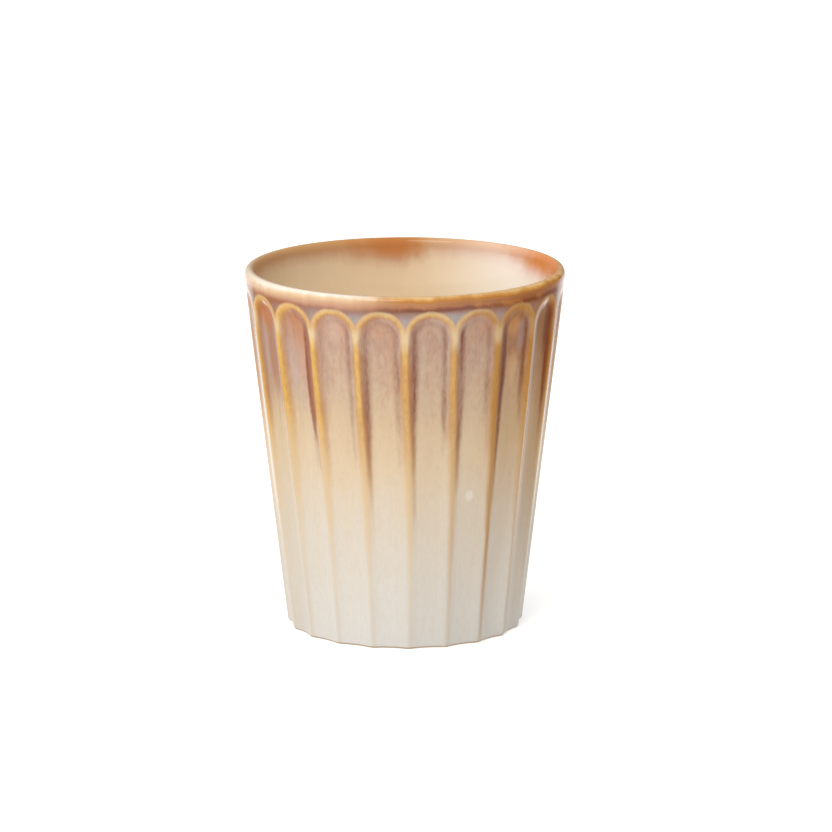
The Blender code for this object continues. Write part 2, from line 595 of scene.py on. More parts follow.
    def _part(self, skin: bpy.types.Object) -> dict[Zone, bpy.types.Object]:
        """Parts the skin into the skins of its coats.

        Args:
            skin: the whole skin, of which the outside is left.

        Returns:
            The skin of each coat.
        """
        skins = {Zone.OUTSIDE: skin}
        for zone in (Zone.LIP, Zone.BOWL):
            Bench.edit(skin)
            Bench.pick(Domain.FACE, lambda face: self._zone_of(face) is zone)
            skins[zone] = Bench.part_from(skin)
        return skins

    def _back_stations(self, zone: Zone, seams: dict[Zone, float]) -> list[Point]:
        """Rings of the plain skin behind a coat.

        Args:
            zone: the coat.
            seams: heights at which the outside and the bowl meet the lip.

        Returns:
            Radius and height of each ring.
        """
        form, coat = self.form, self.coat
        outer, inner = seams[Zone.OUTSIDE], seams[Zone.BOWL]
        top_edge = (form.outside(outer) - coat, outer)
        bowl_edge = (form.inside(inner) + coat, inner)
        if zone is Zone.OUTSIDE:
            arch_top = form.arch_spring + form.half_pitch
            return [
                (form.outside(form.dry_foot) - self.back_inset, form.dry_foot),
                (form.shoulder_radius - self.back_inset, form.shoulder_height),
                (form.outside(arch_top) - self.back_inset / 2, arch_top),
                top_edge,
            ]
        if zone is Zone.BOWL:
            return [bowl_edge, *self.bowl_stations(coat, inner)]
        middle = form.lip_centre[0]
        crown = form.height - 2 * coat
        return [top_edge, (middle + coat, crown), (middle - coat, crown), bowl_edge]

    def _close(self, zone: Zone, skin: bpy.types.Object, seams: dict[Zone, float]) -> None:
        """Closes a coat with its plain back.

        Args:
            zone: the coat.
            skin: its skin.
            seams: heights at which the outside and the bowl meet the lip.
        """
        Bench.edit(skin)
        start, *stations = self._back_stations(zone, seams)
        edges = Bench.rim_heights()
        bpy.ops.mesh.select_mode(type="EDGE")
        bpy.ops.mesh.select_all(action="DESELECT")
        Bench.circle(self.back_sides, start)
        draw = Bench.cap if zone is Zone.BOWL else Bench.rings
        draw(start, stations)
        for height in edges:
            Bench.pick_rim(height)
            bpy.ops.mesh.fill(use_beauty=True)
        Bench.complete(zone.value, self.crease)

    def build(self) -> dict[Zone, bpy.types.Object]:
        """Models the coats.

        Returns:
            The piece for each coat.
        """
        Bench.clear()
        self._flat_flute()
        self._frame_flute()
        self._wall()
        self._lip_and_bowl()
        skin = Bench.close("glaze_skin")
        Bench.subdivide(skin, self.smoothing)
        skins = self._part(skin)
        seams = {}
        for zone in (Zone.OUTSIDE, Zone.BOWL):
            Bench.edit(skins[zone])
            seams[zone] = Bench.rim_heights()[-1]
        for zone, piece in skins.items():
            self._close(zone, piece, seams)
        return skins

    def _on_foot(self, edge: bmesh.types.BMEdge) -> bool:
        """Whether an edge lies at the coat's foot, under its fluted wall.

        Args:
            edge: an edge of the closed coat.

        Returns:
            Whether it is part of the scalloped outline.
        """
        low, margin = self.form.dry_foot, self.edge_margin
        back = self.form.outside(low) - self.back_inset
        places = [v.co for v in edge.verts]
        level = all(abs(place.z - low) < LEVEL for place in places)
        outer = all(place.to_2d().length > back + margin for place in places)
        return level and outer and any(f.calc_center_median().z > low + margin for f in edge.link_faces)

    def foot_outline(self, coat: bpy.types.Object) -> bpy.types.Object:
        """Lifts the scalloped edge of the coat's foot off as an outline of its own.

        Args:
            coat: the finished coat.

        Returns:
            An object that holds the outline alone.
        """
        Bench.edit(coat)
        Bench.pick(Domain.EDGE, self._on_foot)
        bpy.ops.mesh.duplicate()
        outline = Bench.part_from(coat)
        Bench.clear()
        return outline


@dataclass
class ClayBody:
    """The clay under the glaze, of which the foot ring shows."""

    coat: GlazeCoat
    pool_radius: float
    pool_top: float
    recess_side: float = 1.1 * MM
    recess_gap: float = 0.3 * MM
    clearance: float = 0.1 * MM
    set_in: float = 0.25 * MM
    edge_round: float = 0.30 * MM
    edge_turns: tuple[int, ...] = (0, -30, -60, -90)
    flat_rings: tuple[int, ...] = (3, 6)
    crease: float = 40

    def _turn(self) -> None:
        """Makes the selected scalloped ring a true circle."""
        bpy.ops.transform.tosphere(value=1)

    def _ring_radius(self) -> float:
        """Mean radius of the selected ring."""
        radii = [vertex.co.to_2d().length for vertex in Bench.mesh().verts if vertex.select]
        return sum(radii) / len(radii)

    def _foot(self, start: Point) -> None:
        """Draws the outline down to the table, across the foot ring and up into its recess.

        Args:
            start: mean radius and height of the outline.
        """
        radius = start[0]
        edge = self.edge_round
        rounded = arc((radius - edge, edge), edge, self.edge_turns)
        flat = [(radius - edge * inwards, 0) for inwards in self.flat_rings]
        Bench.rings(start, [*rounded, *flat])
        self._turn()
        inner = self.pool_radius + self.recess_side
        ceiling = self.pool_top + self.recess_gap
        Bench.cap(
            (self._ring_radius(), 0),
            [
                (inner + edge, 0),
                (inner, edge / 2),
                (inner - edge, ceiling - edge),
                (inner - 2 * edge, ceiling),
                (inner / 2, ceiling),
            ],
        )

    def _wall(self, start: Point) -> None:
        """Draws the outline up inside the coat, over the lip and down under the bowl.

        Args:
            start: mean radius and height of the outline.
        """
        coat = self.coat
        form = coat.form
        inset = coat.back_inset + self.clearance
        shelf = (form.outside(start[1]) - inset, start[1])
        Bench.rings(start, [shelf])
        self._turn()
        top = form.lip_centre[1] - form.lip_thickness
        lining = coat.coat + self.clearance
        stations = [
            (form.outside(form.dry_foot) - inset, 2 * form.dry_foot),
            (form.shoulder_radius - inset, form.shoulder_height),
            (form.outside(top) - coat.back_inset / 2 - self.clearance, top),
            (form.inside(top) + lining, top),
            *coat.bowl_stations(lining, form.shoulder_height),
        ]
        Bench.cap((self._ring_radius(), start[1]), stations)

    def build(self, outline: bpy.types.Object) -> bpy.types.Object:
        """Models the clay from the outline of the coat's foot.

        Args:
            outline: the scalloped edge that the coat ends in.

        Returns:
            The piece.
        """
        form = self.coat.form
        Bench.edit(outline)
        bpy.ops.mesh.select_mode(type="EDGE")
        Bench.pick_all()
        share = 1 - self.set_in / form.foot_radius
        bpy.ops.transform.resize(value=(share, share, 1), center_override=(0, 0, form.dry_foot))
        bpy.ops.transform.translate(value=(0, 0, -self.clearance))
        start = (self._ring_radius(), form.dry_foot - self.clearance)
        self._foot(start)
        Bench.pick_rim(start[1])
        self._wall(start)
        Bench.weld()
        return Bench.complete("clay_body", self.crease)


@dataclass(frozen=True)
class PoolRing:
    """A ring of the pool: a share of its radius, and thicknesses of the pool inwards and up."""

    share: float
    inset: float
    rise: float


@dataclass
class RecessGlaze:
    """The pool of glaze inside the foot ring."""

    radius: float
    low: float
    high: float
    sides: int = 64
    profile: tuple[PoolRing, ...] = (
        PoolRing(1 / 6, 0, 0.25),
        PoolRing(0.6, 0, 0.25),
        PoolRing(0.9, 0, 0.1),
        PoolRing(1, 1, 0),
        PoolRing(1, 0.25, 0.25),
        PoolRing(1, 0.05, 0.75),
        PoolRing(1, 0.5, 1),
        PoolRing(1 / 6, 0, 1),
    )
    crease: float = 50
    smoothing: int = 1

    def build(self) -> bpy.types.Object:
        """Models the pool, a little thinner in the middle than at its round edge.

        Returns:
            The piece.
        """
        thick = self.high - self.low
        start, *stations = [
            (self.radius * ring.share - thick * ring.inset, self.low + thick * ring.rise)
            for ring in self.profile
        ]
        Bench.clear()
        Bench.circle(self.sides, start)
        bpy.ops.object.transform_apply()
        Bench.edit()
        Bench.pick_all()
        Bench.cap(start, stations)
        Bench.pick_rim(start[1])
        Bench.plug()
        return Bench.complete("recess_glaze", self.crease, self.smoothing)


def linear(code: str) -> tuple[float, float, float, float]:
    """A screen colour as a shader takes it, by the sRGB curve.

    Args:
        code: the colour as six hexadecimal digits.

    Returns:
        Red, green, blue and alpha, linear.
    """
    shades = [int(code[i:i + 2], 16) / 255 for i in (0, 2, 4)]
    red, green, blue = [c / 12.92 if c <= 0.04045 else ((c + 0.055) / 1.055) ** 2.4 for c in shades]
    return red, green, blue, 1.0


class Value:
    """What a node gives. Arithmetic on values adds Math nodes."""

    def __init__(self, desk: "NodeDesk", socket: bpy.types.NodeSocket) -> None:
        """Keeps the desk that the node stands on, and its socket."""
        self.desk = desk
        self.socket = socket

    def __add__(self, other: "Number") -> "Value":
        """Adds."""
        return self.desk.math("ADD", self, other)

    def __sub__(self, other: "Number") -> "Value":
        """Takes away."""
        return self.desk.math("SUBTRACT", self, other)

    def __rsub__(self, other: float) -> "Value":
        """Takes away from a number."""
        return self.desk.math("SUBTRACT", other, self)

    def __mul__(self, other: "Number") -> "Value":
        """Multiplies."""
        return self.desk.math("MULTIPLY", self, other)

    def __truediv__(self, other: "Number") -> "Value":
        """Divides."""
        return self.desk.math("DIVIDE", self, other)

    def __abs__(self) -> "Value":
        """Drops the sign."""
        return self.desk.math("ABSOLUTE", self)

    __radd__ = __add__
    __rmul__ = __mul__

    def most(self, other: "Number") -> "Value":
        """The larger of two values."""
        return self.desk.math("MAXIMUM", self, other)

    def hypot(self, other: "Value") -> "Value":
        """The length of a slant from its two square sides."""
        return self.desk.math("SQRT", self * self + other * other)

    def wrap(self, limit: float) -> "Value":
        """This value, brought between -limit and limit by whole turns."""
        return self.desk.node("Math", {"operation": "WRAP"}, {0: self, 1: limit, 2: -limit})

    def fade(self, low: float, high: float) -> "Value":
        """A smooth step from 0 at low to 1 at high."""
        sockets = {"Value": self, "From Min": low, "From Max": high}
        return self.desk.node("MapRange", {"interpolation_type": "SMOOTHSTEP"}, sockets)

    def hump(self, start: float, top: float, end: float) -> "Value":
        """A smooth hump from 0 at start to 1 at top and back to 0 at end."""
        return self.fade(start, top) * (1 - self.fade(top, end))

    def ramp(self, *stops: tuple[float, str]) -> "Value":
        """The colour at this place along a ramp of screen colours."""
        places = [(place, linear(code)) for place, code in stops]
        return self.desk.node("ValToRGB", {"stops": places}, {"Fac": self})

    def blend(self, under: "Paint", over: "Paint") -> "Value":
        """One colour under another that is laid on by this share."""
        below, above = [linear(paint) if isinstance(paint, str) else paint for paint in (under, over)]
        return self.desk.node("Mix", {"data_type": "RGBA"}, {0: self, 6: below, 7: above}, 2)

    def washed(self, *washes: tuple["Value", "Paint"]) -> "Value":
        """This colour with others laid over it in turn.

        Args:
            washes: the share and the colour of each.

        Returns:
            The colour that shows.
        """
        shown = self
        for share, paint in washes:
            shown = share.blend(shown, paint)
        return shown


Number = float | Value
Paint = str | Value


@dataclass(frozen=True)
class Grain:
    """The grain of a noise, in millimetres across and up."""

    across: float
    up: float
    detail: float
    roughness: float = 0.55


class NodeDesk:
    """A node tree, and the one way that nodes are added to it."""

    def __init__(self, owner: bpy.types.ID, shader: str = "Principled BSDF") -> None:
        """Opens the nodes of a material or a world.

        Args:
            owner: the material or the world.
            shader: the name of the shader that the nodes feed.
        """
        owner.use_nodes = True
        self.owner = owner
        self.tree = owner.node_tree
        self.shader = self.tree.nodes[shader]

    def node(self, kind: str, settings: dict, sockets: dict, output: int | str = 0) -> Value:
        """Adds a node.

        Args:
            kind: the node's type, without its ShaderNode prefix.
            settings: its own settings, and a ramp's stops as pairs of place and colour.
            sockets: a number, colour or Value for each socket, by name or place.
            output: the output that is wanted.

        Returns:
            That output.
        """
        made = self.tree.nodes.new("ShaderNode" + kind)
        stops = settings.pop("stops", [])
        for name, setting in settings.items():
            setattr(made, name, setting)
        for i, (place, colour) in enumerate(stops):
            ramp = made.color_ramp.elements
            stop = ramp[i] if i < len(ramp) else ramp.new(place)
            stop.position = place
            stop.color = colour
        for key, given in sockets.items():
            self.feed(made.inputs[key], given)
        return Value(self, made.outputs[output])

    def feed(self, socket: bpy.types.NodeSocket, given: object) -> None:
        """Links a Value to a socket, or sets the socket to a constant.

        Args:
            socket: the socket.
            given: what it gets.
        """
        if isinstance(given, Value):
            self.tree.links.new(given.socket, socket)
        else:
            socket.default_value = given

    def set(self, **sockets: object) -> None:
        """Feeds the shader's sockets, named with underscores for spaces."""
        for name, given in sockets.items():
            self.feed(self.shader.inputs[name.replace("_", " ")], given)

    def math(self, operation: str, first: Number, second: Number = 0.0) -> Value:
        """One Math node."""
        return self.node("Math", {"operation": operation}, {0: first, 1: second})

    def place(self) -> Value:
        """A point's place on the piece, in millimetres."""
        metres = self.node("TexCoord", {}, {}, "Object")
        return self.node("VectorMath", {"operation": "SCALE"}, {"Vector": metres, "Scale": 1 / MM})

    def axes(self, vector: Value) -> list[Value]:
        """A vector's parts along X, Y and Z."""
        parts = self.node("SeparateXYZ", {}, {0: vector}).socket.node.outputs
        return [Value(self, part) for part in parts]

    def noise(self, vector: Value, grain: Grain) -> Value:
        """Noise from 0 to 1.

        Args:
            vector: the place, in millimetres.
            grain: the noise's grain.

        Returns:
            The noise there.
        """
        scale = (1 / grain.across, 1 / grain.across, 1 / grain.up)
        scaled = self.node("VectorMath", {"operation": "MULTIPLY"}, {0: vector, 1: scale})
        sockets = {"Vector": scaled, "Scale": 1, "Detail": grain.detail, "Roughness": grain.roughness}
        return self.node("TexNoise", {}, sockets)

    def bump(self, height: Value, distance: float, strength: float) -> Value:
        """A Bump node's normal."""
        return self.node("Bump", {}, {"Height": height, "Distance": distance, "Strength": strength})

    def clad(self, piece: bpy.types.Object) -> None:
        """Gives a piece this material and no other."""
        piece.data.materials.clear()
        piece.data.materials.append(self.owner)


@dataclass(frozen=True)
class Mark:
    """A soft mark, in degrees from the front and millimetres of height: what the firing left, and one
    pale fleck with a painted highlight.
    """

    turn: float
    height: float
    wide: float
    tall: float
    colour: str
    share: float


@dataclass
class Spot:
    """What the glaze knows of a point, in millimetres and degrees from the front.

    left and right are the shares of the cup's rusty and brown sides, and right_half is that of a flute's
    right half. from_line is measured inwards from ridge and arch. The noises run from -0.5 to 0.5.
    """

    z: Value
    r: Value
    turn: Value
    left: Value
    right: Value
    right_half: Value
    from_ridge: Value
    from_line: Value
    cloud: Value
    patch: Value
    run: Value
    fleck: Value
    grit: Value


@dataclass(frozen=True)
class ReactiveGlaze:
    """Glossy glaze that breaks amber on edges, pools mauve and brown under arches and runs to cream.

    Its recipe is in its methods: heights and widths in millimetres, turns in degrees, and the shares of
    each colour that is washed over the one before.
    """

    form: CupForm
    lean: float
    roughness: float = 0.235
    roughness_spread: float = 0.07
    specular: float = 0.02
    wall_skin: float = 0.66
    smooth_skin: float = 0.5
    skin_roughness: float = 0.04
    relief: float = 0.3 * MM
    relief_strength: float = 0.5
    fleck_relief: float = 0.05
    wave: Grain = Grain(6, 12, 2)
    cloud: Grain = Grain(24, 26, 2)
    patch: Grain = Grain(6, 9, 3)
    run: Grain = Grain(3.4, 40, 3)
    fleck: Grain = Grain(1.5, 3, 3)
    grit: Grain = Grain(0.7, 1.8, 2)
    marks: tuple[Mark, ...] = (
        Mark(-64, 88, 7, 5, "A85A1C", 0.65),
        Mark(-66.5, 79, 2.5, 9, "A49690", 0.32),
        Mark(-60.5, 76, 4, 10, "925C3C", 0.6),
        Mark(-40.5, 86, 4, 6, "A4603A", 0.3),
        Mark(-42, 79, 4, 8, "B27650", 0.36),
        Mark(-38.7, 73, 2.3, 15, "7E3A0E", 1.3),
        Mark(38.8, 76, 2.4, 13, "642C04", 0.65),
        Mark(44.5, 75, 3, 5, "BC9A74", 0.5),
        Mark(44, 87, 3, 4, "B8824C", 0.5),
        Mark(-27, 87, 4, 4, "BC9E8C", 0.45),
        Mark(49.5, 83.5, 3, 5, "95878A", 0.35),
        Mark(67.5, 84, 3.6, 9, "5A2200", 0.75),
        Mark(69.6, 77, 2.6, 14, "6C2E02", 0.85),
        # A pale fleck in the glaze that is partly a painted highlight, a small glint.
        Mark(27.2, 41.5, 2.1, 1.5, "D4D2CE", 0.34),
    )

    def _spot(self, desk: NodeDesk) -> Spot:
        """Works out where a point lies on the cup and in its flute.

        Args:
            desk: the material's nodes.

        Returns:
            The point.
        """
        form = self.form
        place = desk.place()
        x, y, z = desk.axes(place)
        spring = form.arch_spring / MM
        half = form.half_pitch / MM
        pitch = 2 * form.half_angle
        fall = (1 - z / spring).most(0)
        even = (desk.math("ARCTAN2", x, y * -1) - fall * self.lean) / pitch
        pitches = even.wrap(form.flute_count / 2)
        turn = pitches * math.degrees(pitch)
        side = 2 * desk.math("FRACT", pitches) - 1
        taper = 1 - fall * (1 - form.foot_radius / form.outside(form.arch_spring))
        across = abs(side) * half
        noises = {
            name: desk.noise(place, getattr(self, name)) - 0.5
            for name in ("cloud", "patch", "run", "fleck", "grit")
        }
        return Spot(
            z=z,
            r=x.hypot(y),
            turn=turn,
            left=turn.hump(-24, -50, -125),
            right=turn.hump(24, 54, 135),
            right_half=side.fade(-0.1, 0.1),
            from_ridge=(half - across) * taper,
            from_line=(half - across.hypot((z - spring).most(0))) * taper,
            **noises,
        )

    def _ground(self, at: Spot) -> Value:
        """The flutes' floors: mauve-brown and mottled under the arch, with a pale painted highlight just
        inside it, then tan, then cream.

        Args:
            at: the point.

        Returns:
            The colour, with the marks on it.
        """
        level = at.z + at.cloud * 14 + at.run * 18
        high = level.fade(56, 80)
        # A pale painted highlight just inside the ridges and arches, stronger in each flute's right
        # half.
        arch_highlight = at.from_line.hump(0.9, 1.7, 3.0) * at.z.fade(70, 84)
        ground = (level / 100).ramp(
            (0.00, "BBB7B0"), (0.12, "BEB8AE"), (0.27, "C0B6A7"), (0.41, "C2B29C"), (0.51, "C2AC8E"),
            (0.61, "BDA484"), (0.71, "B3977C"), (0.81, "AA8A74"), (0.90, "A8826A"),
        )
        mottled = ground.washed(
            (at.grit.fade(-0.12, 0.22) * (0.06 + 0.18 * high), "8A6450"),
            (high * at.fleck.fade(-0.05, 0.20) * 0.28, "8F6A5C"),
            (high * at.fleck.fade(-0.04, -0.22) * 0.30, "BBA893"),
            (high * at.patch.fade(0.00, 0.18) * 0.40, "B4805F"),
            (high * at.patch.fade(-0.02, -0.16) * 0.35, "B5A18C"),
            (arch_highlight * (0.10 + 0.14 * at.right_half), "BCA9A0"),
        )
        tinted = self._sides(at, mottled, level)
        for mark in self.marks:
            across, along = (at.turn - mark.turn) / mark.wide, (at.z - mark.height) / mark.tall
            reach = across * across + along * along + (at.run + at.fleck) * 0.9
            tinted = tinted.washed((reach.fade(1.6, 0) * mark.share, mark.colour))
        return tinted

    def _sides(self, at: Spot, ground: Value, level: Value) -> Value:
        """Lays the rust and lilac of the left side, a slight painted shade on the front-right flutes and
        the brown of the right side over the floors.

        Args:
            at: the point.
            ground: the floors' colour.
            level: the point's height, made ragged.

        Returns:
            The colour.
        """
        patch = at.patch.fade(-0.14, 0.10)
        ragged = at.z + at.run * 22
        deep = at.right * (at.z + at.run * 24).fade(66, 88) * (0.2 + 0.8 * patch)
        right_brink = at.turn.hump(52, 66, 125)
        left_brink = at.turn.hump(-50, -68, -125)
        # Lilac at the far sides, where the cup's outline turns away: partly the glaze's lilac, partly a
        # painted reflection.
        lilac_and_sheen = abs(at.turn).hump(73, 79, 90) * (at.z + at.run * 30).fade(30, 74)
        return ground.washed(
            (at.left * ragged.hump(62, 76, 90) * 0.45, "A38D88"),
            (at.left * ragged.fade(78, 90) * (0.25 + 0.4 * patch), "A8622E"),
            # A slight painted shade on the flutes from the front to the right.
            (at.turn.fade(-14, 16) * at.turn.fade(54, 34) * 0.1, "6A5644"),
            (at.right * level.fade(4, 56) * 0.39, "8E6230"),
            (deep * 0.6, "74400F"),
            (right_brink * level.fade(-10, 40) * 0.3, "845C1C"),
            (right_brink * level.fade(50, 82) * 0.62, "804A0A"),
            (left_brink * 0.25, "B49C7A"),
            (left_brink * level.fade(56, 80) * 0.5, "8F6448"),
            (lilac_and_sheen * 0.34, "B8ACAC"),
        )

    def _streaks(self, at: Spot, ground: Value) -> Value:
        """Lays the dark runs that follow the ridges and the arches over the floors.

        Args:
            at: the point.
            ground: the floors' colour.

        Returns:
            The colour.
        """
        reach = at.from_line / (0.7 + 0.3 * at.z.fade(46, 76)) + at.fleck * 0.9
        crown = 1 - 0.75 * at.z.fade(85, 91)
        ragged = at.z + at.run * 36 + at.cloud * 16
        broken = (0.58 + at.run.fade(-0.14, 0.12) * 0.5 + at.grit * 0.6) * crown
        lee = (1 - at.right_half) * reach.hump(0.7, 2.2, 4.3) * (ragged + 8 * at.right).fade(36, 72)
        lee = lee * (0.22 + 0.6 * at.turn.fade(-36, -12) + 0.2 * at.turn.hump(10, 27, 60))
        far = at.right_half * reach.hump(1.2, 2.4, 4.0) * ragged.fade(46, 74)
        far = far * (0.1 + 0.38 * at.turn.fade(-34, -24) + 0.2 * at.turn.fade(-18, -9))
        far = far * (1 - 0.45 * at.turn.hump(19, 30, 42))
        rust = at.right_half * at.turn.hump(-20, -38, -62) * reach.hump(0.2, 1.6, 4.0)
        return ground.washed(
            (lee * broken, at.right.blend("6E3822", "56280A")),
            (far * broken, at.right.blend("6E3A2A", "6A3206")),
            (rust * broken * ragged.fade(46, 70) * 1.8, "80400C"),
        )

    def _corners(self, at: Spot, under: Value) -> Value:
        """Lays the grey glaze of the corners between arches over the flutes.

        Args:
            at: the point.
            under: the flutes' colour.

        Returns:
            The colour.
        """
        grey = at.fleck.fade(-0.15, 0.15).blend("8A766D", "988C86").washed(
            (at.from_ridge.fade(2.6, 0.8) * 0.5, "8E8E90"),
            ((at.z + at.patch * 4).fade(90.2, 92.4) * 0.6, "7C4A38"),
            ((at.left + at.right) * 0.68, "854F2C"),
        )
        return under.washed(((1 - at.from_line.fade(-0.9, -0.3)) * 0.85, grey))

    def _lines(self, at: Spot, under: Value) -> Value:
        """Lays amber over ridges and arch lines, and a dark seam along the ridges' right flanks that is
        brown glaze and partly painted shade.

        Args:
            at: the point.
            under: the wall's colour.

        Returns:
            The colour, pale where the arches meet, partly from a painted highlight.
        """
        arch = at.z.fade(84, 88)
        level = at.z + at.cloud * 12 - 6 * at.turn.hump(-20, -54, -125)
        sway = (1 - 2 * at.right_half) * level.fade(74, 48) * 0.6
        ragged = at.from_line + at.fleck * 0.3 + at.run * 0.9 - sway - 0.25 * arch
        spread = 1.2 + at.left * (0.55 - 1.05 * at.right_half) - 0.1 * arch
        spread = (spread + 0.3 * at.right * at.right_half) * (0.45 + 0.55 * at.z.fade(16, 58))
        reach = ragged / (spread + at.patch)
        line = (ragged * (1 + arch * 0.3)).fade(-1.4, -0.2) * reach.fade(1.9, 0.2)
        high = level.fade(48, 64)
        # Brown on the ridges' right flanks, partly glaze colour and partly painted shade on the side
        # away from the key.
        flank_brown_and_shade = (1 - at.right_half) * ragged.fade(0.1, 1.2) * level.fade(40, 62)
        # Where two arches meet a ridge the glaze is pale, partly as a painted highlight, weaker on the
        # dim right side; the arches' outer rims are pale too.
        fork = (at.z + at.patch * 5).hump(80, 85.4, 90) * at.from_ridge.fade(2.8, 0.6)
        outer = ragged.fade(0.5, -0.6) * arch
        pale_and_highlight = (fork * (0.55 + 0.7 * at.patch)).most(outer * 0.3) * (1 - 0.75 * at.right)
        # The dark seam on the right flanks is brown glaze and partly painted shade.
        seam = (1 - at.right_half) * ragged.hump(0.4, 1.3, 2.2) * level.hump(24, 62, 92)
        seam = seam * at.turn.fade(-34, -16) * (0.45 + 0.25 * at.right)
        amber = (level / 100).ramp(
            (0.03, "B8AD9F"), (0.18, "BEB09D"), (0.32, "C1AA8B"), (0.44, "C0A57E"), (0.54, "BF9B6A"),
            (0.66, "C29852"), (0.86, "C4984C"), (0.92, "C49E5C"),
        ).washed(
            (at.turn.hump(-8, -40, -125) * high * 0.7, "D0A446"),
            (high * at.patch.fade(-0.12, 0.12) * 0.35, "AC7632"),
            (high * reach.fade(0.2, 1.3) * 0.65, "8F5624"),
            (high * at.grit.fade(-0.08, 0.22) * 0.3, "9A6428"),
            (flank_brown_and_shade * (0.6 + 0.3 * at.right - 0.5 * at.left), "8F501C"),
            (at.turn.hump(6, 37, 70) * at.z.fade(-20, 32) * 0.75, "966212"),
            (at.turn.hump(42, 60, 125) * level.fade(58, 78) * 0.6, "8C4E10"),
            (pale_and_highlight, "D6C8A8"),
        )
        return under.washed(
            (line * (0.92 - arch * 0.14), amber),
            (seam, level.fade(44, 66).blend("A67A46", "7E461A")),
        )

    def _sheen_flanks(self, at: Spot) -> Value:
        """Share of the outer flanks of the ridges at both sides, where the clear skin stays thick and a
        pale painted reflection is laid on.

        Args:
            at: the point.

        Returns:
            The share.
        """
        right = (1 - at.right_half) * at.turn.fade(50, 56) * at.from_line.hump(-0.4, 1.3, 3.8)
        left = at.right_half * at.turn.fade(-53, -57) * at.from_line.hump(0.5, 1.3, 2.4)
        return (right + left) * abs(at.turn).fade(73, 71) * at.z.fade(8, 50)

    def _brow(self, at: Spot) -> Value:
        """The band under the lip and the lip itself, fair on the left with a painted highlight along its
        top, brown and dripping on the right.

        Args:
            at: the point.

        Returns:
            The colour.
        """
        ragged = (at.z + at.cloud * 1.4 + at.run * 1.2 + at.patch * 1.4 - 90) / 7
        brown = ragged.ramp(
            (0.26, "856450"), (0.38, "6C3C26"), (0.46, "7A432A"), (0.56, "9C6844"), (0.68, "A4724A"),
            (0.75, "A66C2E"), (0.84, "C08A48"), (0.91, "D6B07A"),
        ).washed(
            (at.right * at.z.fade(95.6, 94.4) * 0.55, "6E3404"),
            (at.turn.fade(4, 22) * ragged.hump(0.46, 0.62, 0.76) * 0.5, "8C5220"),
            (at.cloud.fade(-0.08, 0.12) * 0.2, "8A521E"),
            (at.patch.fade(0, 0.14) * ragged.hump(0.22, 0.5, 0.72) * 0.4, "B4783C"),
        )
        # The fair left lip, whose ramp runs near white at the top: a painted highlight.
        fair_and_lit = ragged.ramp(
            (0.30, "906252"), (0.44, "AE8266"), (0.60, "C09A78"), (0.74, "D2B48E"), (0.86, "E4DCCE"),
        ).washed((at.left * at.z.fade(94, 92.4) * 0.6, "8E4A24"))
        return brown.washed((at.turn.hump(0, -26, -160) * 0.95, fair_and_lit))

    def _inside(self, at: Spot) -> Value:
        """The bowl: beige, mauve near the lip, then amber that hangs lower in two places, with painted
        light on its right side.

        Args:
            at: the point.

        Returns:
            The colour.
        """
        ragged = at.turn + at.run * 6 + at.patch * 18
        back = (ragged - 184).wrap(180).hump(-18, -1, 36)
        right = ragged.fade(58, 84) * ragged.fade(148, 110)
        # Share of painted light on the bowl's right side, which faces the key.
        fair_and_lit = at.turn.hump(50, 125, 178)
        level = at.z + at.cloud * 2.5 + at.run * 2 + 3.2 * back + 3.4 * right
        high = (level - 50) / 50
        # Painted shade and painted light: a shaded and a lit copy of the bowl's colours.
        shaded_bowl = high.ramp((0.0, "E6D2B4"), (0.70, "E3CBA8"), (0.82, "D9BE9A"), (0.89, "C09674"))
        lit_bowl = high.ramp((0.0, "EDE6D6"), (0.70, "F0E9DA"), (0.82, "F0E4D7"), (0.89, "EAD4CA"))
        hot = back.most(right) * 0.9
        # The back amber turns pale on the lit side: a painted highlight.
        amber = hot.blend(fair_and_lit.blend("C0905C", "E6C4AC"), right.blend("B66C2C", "D0781C"))
        return level.fade(92.6, 97).blend(fair_and_lit.blend(shaded_bowl, lit_bowl), amber)

    def _colour(self, at: Spot, zone: Zone) -> Value:
        """Colour of one coat.

        Args:
            at: the point.
            zone: the coat.

        Returns:
            The colour.
        """
        if zone is Zone.BOWL:
            return self._inside(at)
        brow = self._brow(at)
        if zone is Zone.LIP:
            middle = self.form.lip_centre[0] / MM
            return at.r.fade(middle - 0.9, middle + 0.7).blend(self._inside(at), brow)
        flutes = self._corners(at, self._streaks(at, self._ground(at)))
        wall = flutes.washed(((at.z + at.cloud).fade(91.5, 92.9), brow))
        # The outer flanks of the side ridges get a pale painted reflection.
        return self._lines(at, wall).washed((self._sheen_flanks(at) * 0.42, "DAD2CD"))

    def _skin(self, at: Spot, zone: Zone) -> Number:
        """Weight of a coat's clear skin, which is thin where brown and rust have matted the sides.

        Args:
            at: the point.
            zone: the coat.

        Returns:
            The weight.
        """
        if zone is Zone.BOWL:
            return self.smooth_skin
        thin = at.turn.fade(20, 46) * at.turn.fade(74, 69)
        if zone is Zone.LIP:
            return self.smooth_skin - 0.4 * thin
        thin = thin + at.turn.fade(-36, -60) * at.turn.fade(-74, -69)
        low = abs(at.turn).hump(64, 76, 112) * at.z.fade(44, 18)
        return self.wall_skin - 0.6 * (thin * (1 - self._sheen_flanks(at))).most(low)

